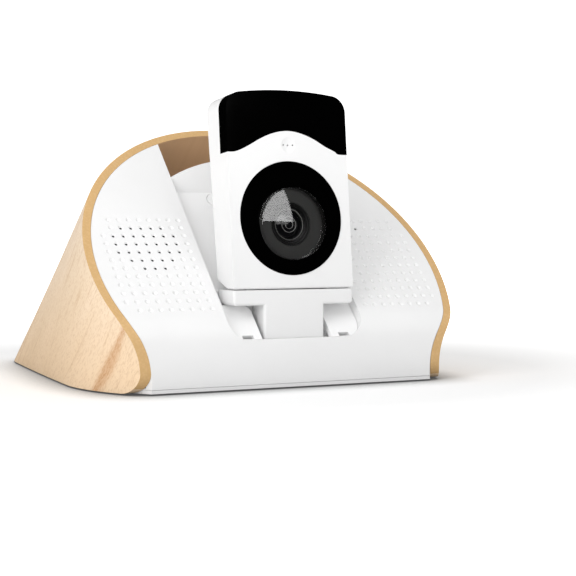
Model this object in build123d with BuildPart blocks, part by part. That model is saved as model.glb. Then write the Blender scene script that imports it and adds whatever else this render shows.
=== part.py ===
"""Baby monitor camera on its docking station.

A bent plywood hood carries a slanted white front with a speaker grille. A camera head on a
tilting foot stands in the channel of that front and lifts off upwards.
Millimetres. +Z is up, +Y is the back. The origin is on the table, under the middle of the
dock's box.
"""
from build123d import *
import os
from math import atan, cos, radians, sin, sqrt, tan

os.makedirs("parts", exist_ok=True)

# ---------------------------------------------------------------- dock: driving dimensions
dock_depth = 201.0        # apron face to cut-off back of the hood
hoop_radius = 88.6        # outside of the hood's front rim
hoop_height = 53.8        # centre of the rim above the table
hoop_setback = 23.5       # centre of the rim behind the apron face
slant = 43.2              # lean of the front from vertical, degrees
ply = 3.8                 # thickness of the bent sheet
apron_bend = 17.0         # radius from the slanted front to the upright apron
hood_toe_radius = 9.0     # rounded lower front corner of the sheet
ground_gap = 0.8          # hood and base stand this far above the table, on the feet

# lines across the sheet: angle down from the top of the rim, and where each meets the table
shoulder_angle = 58.0
flank_angle = 90.0
hip_angle = 109.8
toe_x = 0.7833 * hoop_radius
toe_drop = 0.4955 * hoop_radius    # below the rim's centre, along the front
# table line of the sheet: half widths, and how far behind the apron face
shoulder_foot = (0.8025 * hoop_radius, 0.89 * dock_depth)
apex_reach = shoulder_foot[1] + 0.692 * hoop_radius
flank_foot = (0.9323 * hoop_radius, 0.478 * dock_depth)
side_straight = 0.195 * dock_depth
toe_foot_x = 0.8476 * hoop_radius
# the sheet's thickness as cut obliquely by the table and by the apron, in plies
apex_spread = 1.6
shoulder_spread = 1.2
toe_spread = 1.35

wall = 2.4                # moulded walls of the dock
fit_gap = 0.15            # between fixed pieces
base_edge = 1.5           # edge of the base plate that shows below the front

# channel in the front, where the camera stands
channel_half = 33.7
channel_depth = 4.6
channel_corner = 9.0
channel_flange = 2.0
crease_y = 61.5           # upright panel at the top of the channel, behind the apron face
panel_top = 103.1
panel_arch = 66.0
tub_back = 108.5          # hand recess behind that panel
tub_floor = 86.5

# grille
hole_pitch = 4.8
hole_radius = 0.8
grille_half_gap = 8.06    # centre line to the first column, in pitches
grille_top_row = 5.5      # first row above the rim's centre line, in pitches
grille_rise = 1.5         # centre line of the rows above the rim's centre

# speaker behind the left half
speaker_rise = 11.8
speaker_radius = 0.21445 * hoop_radius
speaker_gap = 3.2         # clear of the channel's flange
speaker_x = -(channel_half + channel_flange + speaker_gap + speaker_radius)
sound_radius = 15.86      # grille holes go right through inside this circle
gasket = 0.8
flange_thick = 1.2
basket_depth = 8.0
magnet_radius = 11.0
magnet_depth = 7.0

# keys in the channel floor
key_radius = 4.0
key_x = -12.5
key_rises = {"volume_up_key": 45.5, "volume_down_key": 34.5}
key_gap = 0.3
key_proud = 0.4
key_travel = 0.6
key_flange = 0.8
stem_radius = 1.5
stem_length = 1.8

# ---------------------------------------------------------------- camera: driving dimensions
camera_width = 60.0
head_height = 88.7
head_thick_top = 20.0
head_thick_bottom = 16.0
head_lean = 5.4
head_corner = 7.5
head_crown = 2.5
head_edge = 1.0
head_wall = 2.6
seam_height = 43.4        # joint between foot and head, above the table
seam_gap = 0.4
camera_setback = 3.0      # foot's front behind the apron face
foot_height = 6.7
foot_edge = 1.2
tongue_width = 30.2
tongue_thick = 12.0
tongue_bottom = 13.0      # above the table
socket_gap = 0.3
notch_half = 17.5
notch_corner = 3.5
strap_slot_x = 24.0       # two small slots beside the notch

cap_skin = 1.6            # black window that wraps over the head
cap_wrap = 7.5
cap_low = head_height - 28.2
cap_rise = 10.0
cap_corner = 2.0
lens_disk_radius = 0.285 * head_height
lens_disk_height = 0.357 * head_height
lens_disk_thick = 1.4
dome_radius = 16.0
dome_drop = 2.5
dome_height = 5.0
dome_skin = 1.0
barrel_radius = 9.9

hinge_setback = 5.5       # tilt axis behind the foot's front
hinge_rise = 3.0          # and above the seam
lug_radius = 3.4
lug_width = 5.0
lug_x = 20.0
pin_radius = 1.5
pin_gap = 0.05
tilt_back = 20.0

# ---------------------------------------------------------------- places
apron_y = -dock_depth / 2
back_y = dock_depth / 2
hoop_y = apron_y + hoop_setback
far = 400.0

FACE = Plane(
    origin=(0, hoop_y, hoop_height),
    x_dir=(1, 0, 0),
    z_dir=(0, -cos(radians(slant)), sin(radians(slant))),
)
camera_y = apron_y + camera_setback
HEAD = Plane(
    origin=(0, camera_y, seam_height),
    x_dir=(1, 0, 0),
    z_dir=(0, -cos(radians(head_lean)), sin(radians(head_lean))),
)
hinge_y = camera_y + hinge_setback
hinge_z = seam_height + hinge_rise


def hood_form(inset):
    """Space inside the bent sheet: ruled between the round rim and the line on the table."""
    rim = hoop_radius - inset
    knee = shoulder_foot[0] - shoulder_spread * inset * cos(radians(21))
    knee_y = apron_y + shoulder_foot[1] - shoulder_spread * inset * sin(radians(21))
    with BuildLine(FACE):
        crown = CenterArc((0, 0), rim, 90, -shoulder_angle)
        flank = CenterArc((0, 0), rim, 90 - shoulder_angle, shoulder_angle - flank_angle)
        hip = CenterArc((0, 0), rim, 90 - flank_angle, flank_angle - hip_angle)
        curl = TangentArc(
            hip @ 1, (toe_x - toe_spread * inset, -toe_drop), tangent=hip % 1
        )
        rim_half = [crown, flank, hip, curl]
    with BuildLine(Plane.XY):
        back = TangentArc(
            (0, apron_y + apex_reach - apex_spread * inset), (knee, knee_y), tangent=(1, 0)
        )
        side = TangentArc(
            back @ 1, (flank_foot[0] - inset, apron_y + flank_foot[1]), tangent=back % 1
        )
        straight = PolarLine(side @ 1, side_straight, direction=side % 1)
        toe = TangentArc(
            straight @ 1, (toe_foot_x - toe_spread * inset, apron_y), tangent=straight % 1
        )
        foot_half = [back, side, straight, toe]
    rim_half = [line.edge() for line in rim_half]
    foot_half = [line.edge() for line in foot_half]
    rim_toe = FACE.from_local_coords(Vector(toe_x - toe_spread * inset, -toe_drop))
    foot_toe = Vector(toe_foot_x - toe_spread * inset, apron_y)
    outlines = []
    for half, toe_end in ((rim_half, rim_toe), (foot_half, foot_toe)):
        toe_line = Edge.make_line(toe_end, Vector(-toe_end.X, toe_end.Y, toe_end.Z))
        outlines.append(Wire(half + [edge.mirror(Plane.YZ) for edge in half] + [toe_line]))
    return Solid.make_loft(outlines, ruled=True)


def front_form(inset, toe=0.0, bottom=0.0):
    """Everything behind the front surface moved back by inset: slanted face, bend, apron."""
    lean = radians(slant)
    axis_y = hoop_y + inset * cos(lean)
    axis_z = hoop_height - inset * sin(lean)
    face_y = apron_y + inset
    knee_z = axis_z - (axis_y - face_y) / tan(lean)
    top = knee_z + 150
    with BuildPart() as form:
        with BuildSketch(Plane.YZ) as side:
            with BuildLine():
                Polyline(
                    (face_y, bottom),
                    (face_y, knee_z),
                    (face_y + (top - knee_z) * tan(lean), top),
                    (back_y, top),
                    (back_y, bottom),
                    close=True,
                )
            make_face()
            upright = side.vertices().group_by(Axis.X)[0].sort_by(Axis.Y)
            fillet(upright[-1], apron_bend - inset)
            if toe:
                fillet(side.vertices().group_by(Axis.X)[0].sort_by(Axis.Y)[0], toe)
        extrude(amount=far / 2, both=True)
    return form.part


def block(x_half, y_range, z_range, mode=Mode.ADD):
    """Upright block across the middle plane, by its half width and its ranges."""
    with BuildSketch(Plane.XY.offset(z_range[0]), mode=Mode.PRIVATE) as base:
        with Locations((0, (y_range[0] + y_range[1]) / 2)):
            Rectangle(2 * x_half, y_range[1] - y_range[0])
    extrude(base.sketch, amount=z_range[1] - z_range[0], mode=mode)


def face_disc(point, depth, thickness, radius, bore=0.0):
    """Disc or ring square to the slanted front, from a depth behind it."""
    with BuildSketch(FACE.offset(-depth), mode=Mode.PRIVATE) as disc:
        with Locations(point):
            Circle(radius)
            if bore:
                Circle(bore, mode=Mode.SUBTRACT)
    extrude(disc.sketch, amount=-thickness)


def save(piece, name):
    piece.part.label = name
    export_step(piece.part, f"parts/{name}.step")


# ---------------------------------------------------------------- dock shell
base_bottom = ground_gap
base_top = base_bottom + wall
front_bottom = base_bottom + base_edge + fit_gap
lining = ply + fit_gap

with BuildPart() as wood_hood:
    add(hood_form(0))
    add(hood_form(ply), mode=Mode.SUBTRACT)
    add(front_form(0, hood_toe_radius, ground_gap), mode=Mode.INTERSECT)
save(wood_hood, "wood_hood")

lip = (-hoop_setback - channel_depth * cos(radians(slant))) / sin(radians(slant))
channel_top = hoop_radius


def channel_outline(grow, mode=Mode.ADD):
    """Channel seen square to the slanted front: open at the top, rounded at the lip."""
    low = lip - grow
    with BuildSketch(mode=Mode.PRIVATE) as outline:
        with Locations((0, (channel_top + low) / 2)):
            Rectangle(2 * (channel_half + grow), channel_top - low)
        fillet(outline.vertices().group_by(Axis.Y)[0], channel_corner + grow)
    add(outline.sketch, mode=mode)


def grille_points(side):
    """Square grid of one wing: eight columns, and a ninth beside the nine middle rows."""
    points = []
    for row in range(12):
        columns = 9 if 2 <= row <= 10 else 8
        rise = grille_rise + (grille_top_row - row) * hole_pitch
        for column in range(columns):
            points.append((side * (grille_half_gap + column) * hole_pitch, rise))
    return points


def over_speaker(point):
    return sqrt((point[0] - speaker_x) ** 2 + (point[1] - speaker_rise) ** 2) < sound_radius


sound_holes = [point for point in grille_points(-1) if over_speaker(point)]
mic_hole = ((grille_half_gap + 3) * hole_pitch, grille_rise + (grille_top_row - 1) * hole_pitch)

post_radius = 3.5
pilot_radius = 1.3
front_posts = [(side * (hoop_radius - 26.6), apron_y + 16) for side in (-1, 1)]

with BuildPart() as front_skin:
    add(hood_form(lining))
    add(front_form(0, bottom=front_bottom), mode=Mode.INTERSECT)
    add(front_form(wall), mode=Mode.SUBTRACT)
    with BuildSketch(FACE.offset(far / 8)):
        channel_outline(0)
    extrude(amount=-far / 4, mode=Mode.SUBTRACT)
    with BuildSketch(FACE.offset(-wall)):
        with Locations(*sound_holes, mic_hole):
            Circle(hole_radius)
    extrude(amount=wall * 2, mode=Mode.SUBTRACT)

with BuildPart() as flange:
    with BuildSketch(FACE):
        channel_outline(channel_flange)
        channel_outline(0, mode=Mode.SUBTRACT)
    extrude(amount=-(channel_depth + wall))
    with BuildSketch(Plane.XY.offset(base_top + fit_gap)):
        with Locations(*front_posts):
            Circle(post_radius)
            Circle(pilot_radius, mode=Mode.SUBTRACT)
    extrude(amount=hoop_height)
    add(hood_form(lining), mode=Mode.INTERSECT)
    add(front_form(wall / 2, bottom=front_bottom), mode=Mode.INTERSECT)

with BuildPart() as front_fascia:
    add(front_skin.part)
    add(flange.part)
save(front_fascia, "front_fascia")

# ---------------------------------------------------------------- cradle in the channel
tongue_y = (camera_y, camera_y + tongue_thick)
foot_back = camera_y + head_thick_bottom
foot_bottom = seam_height - foot_height
seat_gap = 0.1
pocket_half = camera_width / 2 + 0.4
socket_half = tongue_width / 2 + socket_gap
socket_wall = 2.0
socket_ledge = 22.0
socket_back = tongue_y[1] + socket_gap
seat_z = foot_bottom - seat_gap
contact_x = (-9.0, -3.0, 3.0, 9.0)
contact_y = camera_y + 6.0
contact_hole = 1.2
socket_floor = 2.2
key_axis = [(key_x, rise) for rise in key_rises.values()]
key_post_x = (key_x - 9.0, key_x + 9.0)
key_middle = sum(key_rises.values()) / 2
key_board_depth = 13.2

with BuildPart() as cradle:
    with BuildSketch(FACE.offset(-channel_depth)):
        channel_outline(-fit_gap)
    extrude(amount=-wall)
    block(channel_half, (apron_y + crease_y - fit_gap, back_y), (0, far), Mode.SUBTRACT)
    with BuildSketch(FACE.offset(-channel_depth)):
        with Locations(*key_axis):
            Circle(key_radius + key_gap)
    extrude(amount=-wall, mode=Mode.SUBTRACT)

with BuildPart() as cradle_well:
    block(pocket_half + wall, (foot_back - 9, foot_back + 0.3 + wall), (seat_z - wall, seat_z + 12))
    block(
        notch_half + socket_wall,
        (apron_y + wall + fit_gap, socket_back + socket_wall),
        (base_top, seat_z + 2),
    )
    add(front_form(channel_depth + wall / 2), mode=Mode.INTERSECT)

with BuildPart() as seated_cradle:
    add(cradle.part)
    add(cradle_well.part)
    block(pocket_half, (apron_y, foot_back + 0.3), (seat_z, seat_z + 20), Mode.SUBTRACT)
    with BuildSketch(Plane.XZ.offset(-apron_y)) as notch:
        with Locations((0, (seat_z + socket_ledge) / 2)):
            Rectangle(2 * notch_half, seat_z - socket_ledge)
        with Locations((0, seat_z + 5)):
            Rectangle(2 * pocket_half, 10)
        inner_corners = [v for v in notch.vertices() if abs(abs(v.X) - notch_half) < 0.01]
        fillet([v for v in inner_corners if v.Y > socket_ledge + 1], notch_corner)
    extrude(amount=-(socket_back - apron_y), mode=Mode.SUBTRACT)
    with BuildSketch(FACE.offset(-channel_depth)):
        with Locations((-strap_slot_x, lip + 1.5), (strap_slot_x, lip + 1.5)):
            Rectangle(5.4, 2.0)
    extrude(amount=-2 * wall, mode=Mode.SUBTRACT)
    block(
        socket_half,
        (camera_y - socket_gap, socket_back),
        (tongue_bottom - socket_gap, seat_z),
        Mode.SUBTRACT,
    )
    block(
        notch_half,
        (apron_y, socket_back),
        (0, tongue_bottom - socket_gap - socket_floor),
        Mode.SUBTRACT,
    )
    with BuildSketch(Plane.XY):
        with Locations(*[(x, contact_y) for x in contact_x]):
            Circle(contact_hole)
    extrude(amount=tongue_bottom, mode=Mode.SUBTRACT)
    with BuildSketch(FACE.offset(-channel_depth - wall)):
        with Locations(*[(x, key_middle) for x in key_post_x]):
            Circle(stem_radius)
    extrude(amount=-(key_board_depth - channel_depth - wall))
save(seated_cradle, "cradle")

# upright panel with an arched top, and the hand recess behind it, under the hood
with BuildPart() as handle_tub:
    panel_back = apron_y + crease_y + wall
    tub_half = channel_half - fit_gap
    block(tub_half, (apron_y + crease_y, apron_y + tub_back), (tub_floor, hoop_height + hoop_radius))
    block(
        tub_half - wall,
        (panel_back, apron_y + tub_back - wall),
        (tub_floor + wall, far),
        Mode.SUBTRACT,
    )
    add(hood_form(lining), mode=Mode.INTERSECT)
    add(front_form(channel_depth), mode=Mode.INTERSECT)

with BuildPart() as panel:
    with BuildSketch(Plane.XZ.offset(-apron_y - crease_y)):
        with BuildLine():
            side_z = panel_top - (panel_arch - sqrt(panel_arch**2 - tub_half**2))
            Polyline(
                (-tub_half, side_z), (-tub_half, tub_floor), (tub_half, tub_floor), (tub_half, side_z)
            )
            ThreePointArc((-tub_half, side_z), (0, panel_top), (tub_half, side_z))
        make_face()
    extrude(amount=-wall)

with BuildPart() as recess:
    add(handle_tub.part)
    add(panel.part)
save(recess, "handle_tub")

# ---------------------------------------------------------------- base, back, feet, screws
foot_pad_radius = 6.0
foot_pad_thick = 2.0
pad_gap = 0.15
front_x = hoop_radius - 26.6
rear_x = hoop_radius - 46.6
foot_pads = [
    (side * x, y)
    for side in (-1, 1)
    for x, y in ((front_x, apron_y + 34), (rear_x, back_y - 24))
]
rear_panel_y = back_y - 1.0
rear_posts = [(side * (rear_x - 2), rear_panel_y - wall - 3) for side in (-1, 1)]
rear_post_height = 9.0
cleat_x = hoop_radius - 6.6
cleat_size = (26.0, 24.0, 14.0)
cleats = [
    (side * cleat_x, apron_y + share * dock_depth) for side in (-1, 1) for share in (0.30, 0.52)
]
cleat_screws = [(x - 9 * x / cleat_x, y) for x, y in cleats]
screw_head_radius = 2.75
screw_head_thick = 1.5
screw_radius = 1.25
screw_length = 11.0
screw_points = front_posts + rear_posts + cleat_screws

with BuildPart() as base_plate:
    add(hood_form(lining))
    add(front_form(0, bottom=base_bottom), mode=Mode.INTERSECT)
    block(far / 4, (-far, far), (base_top, far), Mode.SUBTRACT)
with BuildPart() as base_rim:
    add(hood_form(lining))
    add(front_form(0, bottom=front_bottom - fit_gap), mode=Mode.INTERSECT)
    add(front_form(wall + fit_gap), mode=Mode.SUBTRACT)
with BuildPart() as base_tray:
    add(base_plate.part)
    add(base_rim.part, mode=Mode.SUBTRACT)
    with BuildSketch(Plane.XY):
        with Locations(*foot_pads):
            Circle(foot_pad_radius + pad_gap)
    extrude(amount=foot_pad_thick, mode=Mode.SUBTRACT)
    with BuildSketch(Plane.XY.offset(base_bottom)):
        with Locations(*screw_points):
            Circle(screw_head_radius + pad_gap)
    extrude(amount=screw_head_thick + fit_gap, mode=Mode.SUBTRACT)
    with BuildSketch(Plane.XY):
        with Locations(*screw_points):
            Circle(screw_radius + pad_gap)
    extrude(amount=base_top, mode=Mode.SUBTRACT)
save(base_tray, "base_tray")

with BuildPart() as rubber_feet:
    with BuildSketch(Plane.XY):
        with Locations(*foot_pads):
            Circle(foot_pad_radius)
    extrude(amount=foot_pad_thick)
    chamfer(rubber_feet.edges().group_by(Axis.Z)[0], 0.4)
save(rubber_feet, "rubber_feet")

with BuildPart() as base_screws:
    with BuildSketch(Plane.XY.offset(base_bottom + fit_gap)):
        with Locations(*screw_points):
            Circle(screw_head_radius)
    extrude(amount=screw_head_thick)
    with BuildSketch(Plane.XY.offset(base_bottom + screw_head_thick)):
        with Locations(*screw_points):
            Circle(screw_radius)
    extrude(amount=screw_length)
save(base_screws, "base_screws")

with BuildPart() as hood_cleats:
    with BuildSketch(Plane.XY.offset(base_top)):
        with Locations(*cleats):
            Rectangle(*cleat_size[:2])
    extrude(amount=cleat_size[2])
    add(hood_form(ply), mode=Mode.INTERSECT)
    with BuildSketch(Plane.XY):
        with Locations(*cleat_screws):
            Circle(pilot_radius)
    extrude(amount=base_top + screw_length, mode=Mode.SUBTRACT)
save(hood_cleats, "hood_cleats")

jack_radius = 3.1
jack_z = 10.0
jack_half = 4.5
jack_height = 10.0
jack_length = 13.0
slot_z = 8.5
slot_length = 8.0
slot_width = 2.0
slot_pitch = 4.5
slot_count = 5
slot_middle = rear_x / 2 + 3

with BuildPart() as rear_block:
    block(far / 4, (rear_panel_y - wall, rear_panel_y), (base_top + fit_gap, far))
    add(hood_form(lining), mode=Mode.INTERSECT)
with BuildPart() as rear_bosses:
    with BuildSketch(Plane.XY.offset(base_top + fit_gap)):
        with Locations(*rear_posts):
            Circle(post_radius)
            Circle(pilot_radius, mode=Mode.SUBTRACT)
    extrude(amount=rear_post_height)
    add(hood_form(lining), mode=Mode.INTERSECT)
with BuildPart() as rear_panel:
    add(rear_block.part)
    add(rear_bosses.part)
    with BuildSketch(Plane.XZ.offset(-rear_panel_y)):
        with Locations((0, jack_z)):
            Circle(jack_radius + fit_gap)
        for side in (-1, 1):
            with Locations((side * slot_middle, slot_z)):
                with GridLocations(slot_pitch, 0, slot_count, 1):
                    SlotOverall(slot_length, slot_width, rotation=90)
    extrude(amount=wall, mode=Mode.SUBTRACT)
save(rear_panel, "rear_panel")

with BuildPart() as dc_inlet:
    block(
        jack_half,
        (rear_panel_y - wall - jack_length, rear_panel_y - wall - fit_gap),
        (jack_z - jack_height / 2, jack_z + jack_height / 2),
    )
    with BuildSketch(Plane.XZ.offset(-(rear_panel_y - wall - fit_gap))):
        with Locations((0, jack_z)):
            Circle(jack_radius)
    extrude(amount=-wall + 0.3)
    with BuildSketch(Plane.XZ.offset(-rear_panel_y)):
        with Locations((0, jack_z)):
            Circle(jack_radius - 0.5)
            Circle(1.0, mode=Mode.SUBTRACT)
    extrude(amount=jack_length - 1, mode=Mode.SUBTRACT)
save(dc_inlet, "dc_inlet")

# ---------------------------------------------------------------- inside the dock
board_z = 9.0
board_thick = 1.6
board_size = (92.0, 58.0)
board_y = apron_y + 0.37 * dock_depth
board_posts = [
    (side * (board_size[0] / 2 - 6), board_y + end * (board_size[1] / 2 - 5))
    for side in (-1, 1)
    for end in (-1, 1)
]
with BuildPart() as main_board:
    with BuildSketch(Plane.XY.offset(board_z)):
        with Locations((0, board_y)):
            RectangleRounded(*board_size, 2)
    extrude(amount=board_thick)
    with BuildSketch(Plane.XY.offset(board_z + board_thick)):
        with Locations((-14, board_y + 6)):
            Rectangle(14, 14)
        with Locations((16, board_y - 8)):
            Rectangle(10, 8)
        with Locations((24, board_y + 16)):
            Rectangle(12, 6)
    extrude(amount=1.4)
save(main_board, "main_board")

with BuildPart() as board_standoffs:
    with BuildSketch(Plane.XY.offset(base_top)):
        with Locations(*board_posts):
            Circle(2.5)
    extrude(amount=board_z - base_top)
save(board_standoffs, "board_standoffs")

speaker_axis = (speaker_x, speaker_rise)
cone_radius = speaker_radius - 2.5
frame_depth = wall + gasket
basket_start = frame_depth + flange_thick
basket_end = basket_start + basket_depth
skin = 1.0

with BuildPart() as speaker_gasket:
    face_disc(speaker_axis, wall, gasket, speaker_radius, cone_radius)
save(speaker_gasket, "speaker_gasket")

with BuildPart() as speaker_frame:
    face_disc(speaker_axis, frame_depth, flange_thick, speaker_radius, cone_radius)
    for inset, mode in ((0, Mode.ADD), (skin, Mode.SUBTRACT)):
        with BuildSketch(FACE.offset(-basket_start)):
            with Locations(speaker_axis):
                Circle(cone_radius + skin - inset)
        with BuildSketch(FACE.offset(-basket_end + inset)):
            with Locations(speaker_axis):
                Circle(magnet_radius - inset)
        loft(mode=mode)
save(speaker_frame, "speaker_frame")

with BuildPart() as speaker_magnet:
    face_disc(speaker_axis, basket_end, magnet_depth, magnet_radius)
save(speaker_magnet, "speaker_magnet")

with BuildPart() as speaker_cone:
    for depth_shift, mode in ((0, Mode.ADD), (skin, Mode.SUBTRACT)):
        with BuildSketch(FACE.offset(-frame_depth - 0.2 + depth_shift)):
            with Locations(speaker_axis):
                Circle(cone_radius - 0.4)
        with BuildSketch(FACE.offset(-basket_end + 2.4 + depth_shift)):
            with Locations(speaker_axis):
                Circle(5.0)
        loft(mode=mode)
save(speaker_cone, "speaker_cone")

with BuildPart() as dock_microphone:
    with BuildSketch(FACE.offset(-wall)):
        with Locations(mic_hole):
            Circle(3.0)
    extrude(amount=-2.5)
save(dock_microphone, "dock_microphone")

with BuildPart() as contact_block:
    block(
        13.0,
        (contact_y - 3.5, contact_y + 3.5),
        (tongue_bottom - socket_gap - socket_floor - 3, tongue_bottom - socket_gap - socket_floor),
    )
save(contact_block, "contact_block")

with BuildPart() as contact_pins:
    with BuildSketch(Plane.XY.offset(tongue_bottom - socket_gap - socket_floor)):
        with Locations(*[(x, contact_y) for x in contact_x]):
            Circle(contact_hole - 0.2)
    extrude(amount=socket_floor)
    chamfer(contact_pins.edges().group_by(Axis.Z)[-1], 0.3)
save(contact_pins, "contact_pins")

# ---------------------------------------------------------------- keys in the channel floor
flange_top = channel_depth + wall + 0.1
stem_end = flange_top + key_flange + stem_length
plunger_top = stem_end + key_travel + 0.05


for name, point in zip(key_rises, key_axis):
    with BuildPart() as key:
        face_disc(point, channel_depth - key_proud, flange_top - channel_depth + key_proud, key_radius)
        chamfer(key.edges().sort_by(Axis.Z)[-1], key_proud / 2)
        face_disc(point, flange_top, key_flange, key_radius + 0.9)
        face_disc(point, flange_top + key_flange, stem_length, stem_radius)
    save(key, name)

with BuildPart() as key_switches:
    for point in key_axis:
        with BuildSketch(FACE.offset(-key_board_depth + 2.2)):
            with Locations(point):
                Rectangle(5, 5)
        extrude(amount=-2.2)
        face_disc(point, plunger_top, key_board_depth - 2.2 - plunger_top, 1.2)
save(key_switches, "key_switches")

with BuildPart() as key_board:
    with BuildSketch(FACE.offset(-key_board_depth)):
        with Locations((key_x, key_middle)):
            RectangleRounded(22, 20, 1.5)
    extrude(amount=-1.2)
save(key_board, "key_board")

# ---------------------------------------------------------------- camera foot
pocket_depth = 9.8
contact_thick = 0.5
lug_bore = pin_radius + pin_gap

with BuildPart() as foot_block:
    block(camera_width / 2, (camera_y, foot_back), (foot_bottom, seam_height))
    fillet(foot_block.edges().filter_by(Axis.Y).group_by(Axis.Z)[0], 1.5 * foot_edge)
    fillet(foot_block.edges().filter_by(Axis.Z), foot_edge)
with BuildPart() as tongue:
    block(tongue_width / 2, tongue_y, (tongue_bottom, foot_bottom + 1))
    fillet(tongue.edges().filter_by(Axis.Z), foot_edge)
    chamfer(tongue.faces().sort_by(Axis.Z)[0].edges(), 0.6)
with BuildPart() as lugs:
    with BuildSketch(Plane.YZ.offset(-lug_width / 2)):
        with Locations((hinge_y, hinge_z)):
            Circle(lug_radius)
        with Locations((hinge_y, (seam_height + hinge_z) / 2 - 0.5)):
            Rectangle(2 * lug_radius - 0.8, hinge_rise + 1)
        with Locations((hinge_y, hinge_z)):
            Circle(lug_bore, mode=Mode.SUBTRACT)
    extrude(amount=lug_width)
with BuildPart() as foot_shell:
    add(foot_block.part)
    add(tongue.part)
    for side in (-1, 1):
        with Locations((side * lug_x, 0, 0)):
            add(lugs.part)
    block(
        tongue_width / 2 - wall,
        (camera_y + wall, tongue_y[1]),
        (tongue_bottom + wall, foot_bottom - 1),
        Mode.SUBTRACT,
    )
    with BuildSketch(Plane.XY.offset(tongue_bottom)):
        with Locations(*[(x, contact_y) for x in contact_x]):
            Rectangle(3.6, 5.2)
    extrude(amount=contact_thick, mode=Mode.SUBTRACT)
save(foot_shell, "foot_shell")

with BuildPart() as foot_cover:
    block(
        tongue_width / 2 - wall - fit_gap,
        (camera_y + pocket_depth, tongue_y[1]),
        (tongue_bottom + wall + fit_gap, foot_bottom - 1 - fit_gap),
    )
save(foot_cover, "foot_cover")

with BuildPart() as foot_contacts:
    with BuildSketch(Plane.XY.offset(tongue_bottom)):
        with Locations(*[(x, contact_y) for x in contact_x]):
            Rectangle(3.4, 5.0)
    extrude(amount=contact_thick)
save(foot_contacts, "foot_contacts")

# ---------------------------------------------------------------- camera head
rear_lean = atan((head_thick_top - head_thick_bottom) / head_height)


def head_form(inset):
    """Camera head shrunk by inset: crowned outline, side wedge, relief behind the hinge."""
    half = camera_width / 2 - inset
    top = head_height - inset
    base_z = seam_height + seam_gap + inset
    with BuildPart() as form:
        with BuildSketch(HEAD.offset(5)) as outline:
            with BuildLine():
                Polyline((-half, top - head_crown), (-half, -5), (half, -5), (half, top - head_crown))
                ThreePointArc((-half, top - head_crown), (0, top), (half, top - head_crown))
            make_face()
            fillet(outline.vertices().group_by(Axis.Y)[-1], head_corner - inset)
        extrude(amount=-40)
        front_y = camera_y + inset / cos(radians(head_lean))
        rear_y = foot_back - inset / cos(radians(head_lean) + rear_lean)
        rise = base_z - seam_height
        with BuildSketch(Plane.YZ):
            with BuildLine():
                Polyline(
                    (front_y + rise * tan(radians(head_lean)), base_z),
                    (front_y + 100 * tan(radians(head_lean)), seam_height + 100),
                    (rear_y + 100 * tan(radians(head_lean) + rear_lean), seam_height + 100),
                    (rear_y, base_z + (rear_y - hinge_y) * tan(radians(tilt_back + 1.5))),
                    (hinge_y, base_z),
                    close=True,
                )
            make_face()
        extrude(amount=far / 4, both=True, mode=Mode.INTERSECT)
    return form.part


def head_slab(near, deep):
    """All of the head between two depths behind its front."""
    with BuildPart() as slab:
        with BuildSketch(HEAD.offset(-near)):
            Rectangle(far, far)
        extrude(amount=near - deep)
    return slab.part


def head_disc(point, depth, thickness, radius, bore=0.0, mode=Mode.ADD):
    """Disc or ring square to the head's front, from a depth behind it."""
    with BuildSketch(HEAD.offset(-depth), mode=Mode.PRIVATE) as disc:
        with Locations(point):
            Circle(radius)
            if bore:
                Circle(bore, mode=Mode.SUBTRACT)
    extrude(disc.sketch, amount=-thickness, mode=mode)


head_split = 10.0
disk_proud = 0.2
disk_point = (0, lens_disk_height)
lens_point = (0, lens_disk_height - dome_drop)
lens_hole_radius = 14.0
mic_point = (0, cap_low + 3.7)
mic_dish_radius = 3.45
mic_dish_depth = 0.6
mic_spacing = 2.37
mic_hole_radius = 0.4
window_size = (camera_width - 18, 9.0)
window_low = cap_low + 12.5
window_point = (0, window_low + window_size[1] / 2)
head_screw_x = camera_width / 2 - 6.0
head_screw_points = [
    (side * head_screw_x, rise) for side in (-1, 1) for rise in (22.0, head_height - 11.7)
]
head_boss_radius = 2.9
head_pilot_radius = 1.0
head_screw_radius = 0.95
lug_gap = 0.3
boss_width = 4.2
boss_x = [
    side * (lug_x + shift * (lug_width / 2 + lug_gap + boss_width / 2))
    for side in (-1, 1)
    for shift in (-1, 1)
]

with BuildPart() as cap_zone:
    with BuildSketch(HEAD.offset(3)):
        with BuildLine():
            edge_points = [(-28.5, 0), (-24.2, 0.095), (-19.8, 0.3), (-14.8, 0.575), (-9, 0.83)]
            wave = [(x, cap_low + cap_rise * rise) for x, rise in edge_points]
            wave = wave + [(0, cap_low + cap_rise)] + [(-x, y) for x, y in reversed(wave)]
            Spline(*wave, tangents=[(1, 0), (1, 0)])
            Polyline(
                wave[-1], (far, cap_low), (far, 2 * far), (-far, 2 * far), (-far, cap_low), wave[0]
            )
        make_face()
    extrude(amount=-(3 + cap_wrap))

side_skin = camera_width / 2 - cap_skin
with BuildPart() as cap_corners:
    for side in (-1, 1):
        with BuildSketch(HEAD.location * Plane.YZ.offset(side * (side_skin + far / 8))):
            with Locations((cap_low + cap_corner / 2, -cap_wrap + cap_corner / 2)):
                Rectangle(cap_corner, cap_corner)
            with Locations((cap_low + cap_corner, -cap_wrap + cap_corner)):
                Circle(cap_corner, mode=Mode.SUBTRACT)
        extrude(amount=far / 8, both=True)

with BuildPart() as head_solid:
    add(head_form(0))
    fillet(head_solid.faces().sort_by(Axis.Y)[0].edges(), head_edge)

with BuildPart() as cap_skin_zone:
    add(cap_zone.part)
    add(cap_corners.part, mode=Mode.SUBTRACT)
    add(head_form(cap_skin), mode=Mode.SUBTRACT)

with BuildPart() as ir_window:
    add(head_solid.part)
    add(cap_skin_zone.part, mode=Mode.INTERSECT)
save(ir_window, "ir_window")

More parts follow.
